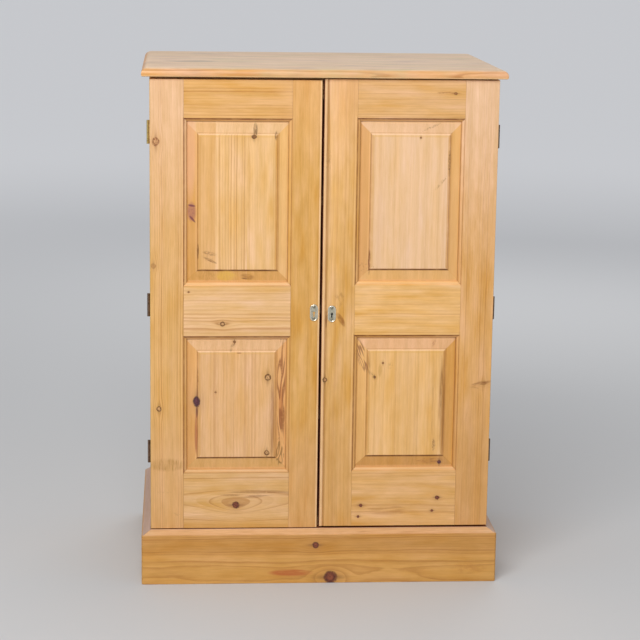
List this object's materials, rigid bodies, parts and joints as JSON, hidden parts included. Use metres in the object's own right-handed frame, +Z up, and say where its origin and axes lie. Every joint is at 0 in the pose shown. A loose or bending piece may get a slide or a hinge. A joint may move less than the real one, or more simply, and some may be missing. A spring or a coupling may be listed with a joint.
{
  "type": "jelly cupboard",
  "caption": "Free-standing pine cupboard on a bevelled plinth, with a moulded top, shelves inside and hinged doors with raised panels, a lock and barrel bolts.",
  "frame": {"origin": "on the floor, under the middle of the outer box", "axes": "+Z up, -Y towards the doors and the viewer, +X to the viewer's right"},
  "size_m": [0.78, 0.54, 1.1248],
  "materials": {
    "door_pine": "stripped and waxed pine, satin",
    "panel_pine": "stripped and waxed pine, satin",
    "side_pine": "stripped and waxed pine, satin",
    "top_pine": "waxed pine, worn to a soft sheen",
    "plinth_pine": "stripped and waxed pine, satin",
    "inner_pine": "plain pine, dry",
    "hinge_steel": "browned steel",
    "hinge_brass": "aged brass",
    "plate_nickel": "dull nickel",
    "lock_steel": "plain steel",
    "bolt_brass": "aged brass"
  },
  "bodies": {
    "carcass": {"side_left": "side_pine", "side_right": "side_pine", "top_board": "top_pine", "bottom_board": "inner_pine", "top_front_rail": "inner_pine", "top_back_rail": "inner_pine", "shelf_lower": "inner_pine", "shelf_middle": "inner_pine", "shelf_upper": "inner_pine", "shelf_cleat_lower_left": "inner_pine", "shelf_cleat_middle_left": "inner_pine", "shelf_cleat_upper_left": "inner_pine", "shelf_cleat_lower_right": "inner_pine", "shelf_cleat_middle_right": "inner_pine", "shelf_cleat_upper_right": "inner_pine", "back_board_1": "inner_pine", "back_board_2": "inner_pine", "back_board_3": "inner_pine", "back_board_4": "inner_pine", "plinth_front": "plinth_pine", "plinth_left": "plinth_pine", "plinth_right": "plinth_pine", "base_front_rail": "plinth_pine", "base_block_left": "inner_pine", "base_block_right": "inner_pine", "left_hinge_lower_fixed_leaf": "hinge_steel", "left_hinge_middle_fixed_leaf": "hinge_steel", "left_hinge_upper_fixed_leaf": "hinge_brass", "right_hinge_lower_fixed_leaf": "hinge_steel", "right_hinge_middle_fixed_leaf": "hinge_steel", "right_hinge_upper_fixed_leaf": "hinge_steel"},
    "left_door": {"left_door_hinge_stile": "door_pine", "left_door_meeting_stile": "door_pine", "left_door_bottom_rail": "door_pine", "left_door_middle_rail": "door_pine", "left_door_top_rail": "door_pine", "left_door_lower_panel": "panel_pine", "left_door_upper_panel": "panel_pine", "left_hinge_lower_door_leaf": "hinge_steel", "left_hinge_middle_door_leaf": "hinge_steel", "left_hinge_upper_door_leaf": "hinge_brass", "keyhole_plate_left": "plate_nickel", "strike_plate": "bolt_brass", "top_bolt_body": "bolt_brass", "bottom_bolt_body": "bolt_brass"},
    "right_door": {"right_door_hinge_stile": "door_pine", "right_door_meeting_stile": "door_pine", "right_door_bottom_rail": "door_pine", "right_door_middle_rail": "door_pine", "right_door_top_rail": "door_pine", "right_door_lower_panel": "panel_pine", "right_door_upper_panel": "panel_pine", "right_hinge_lower_door_leaf": "hinge_steel", "right_hinge_middle_door_leaf": "hinge_steel", "right_hinge_upper_door_leaf": "hinge_steel", "keyhole_plate_right": "plate_nickel", "lock_case": "lock_steel"},
    "lock_bolt": {"lock_bolt": "bolt_brass"},
    "top_bolt": {"top_bolt_slide": "bolt_brass"},
    "bottom_bolt": {"bottom_bolt_slide": "bolt_brass"}
  },
  "joints": [
    {"name": "left_door_swing", "type": "hinge", "parent": "carcass", "child": "left_door", "pos_m": [-0.3733, -0.2275, 0.6], "axis": [0, 0, -1], "range_deg": [0, 180]},
    {"name": "right_door_swing", "type": "hinge", "parent": "carcass", "child": "right_door", "pos_m": [0.3733, -0.2275, 0.6], "axis": [0, 0, 1], "range_deg": [0, 180]},
    {"name": "lock_bolt_throw", "type": "slide", "parent": "right_door", "child": "lock_bolt", "axis": [-1, 0, 0], "range_m": [0, 0.01]},
    {"name": "top_bolt_throw", "type": "slide", "parent": "left_door", "child": "top_bolt", "axis": [0, 0, 1], "range_m": [0, 0.023]},
    {"name": "bottom_bolt_throw", "type": "slide", "parent": "left_door", "child": "bottom_bolt", "axis": [0, 0, -1], "range_m": [0, 0.023]}
  ]
}
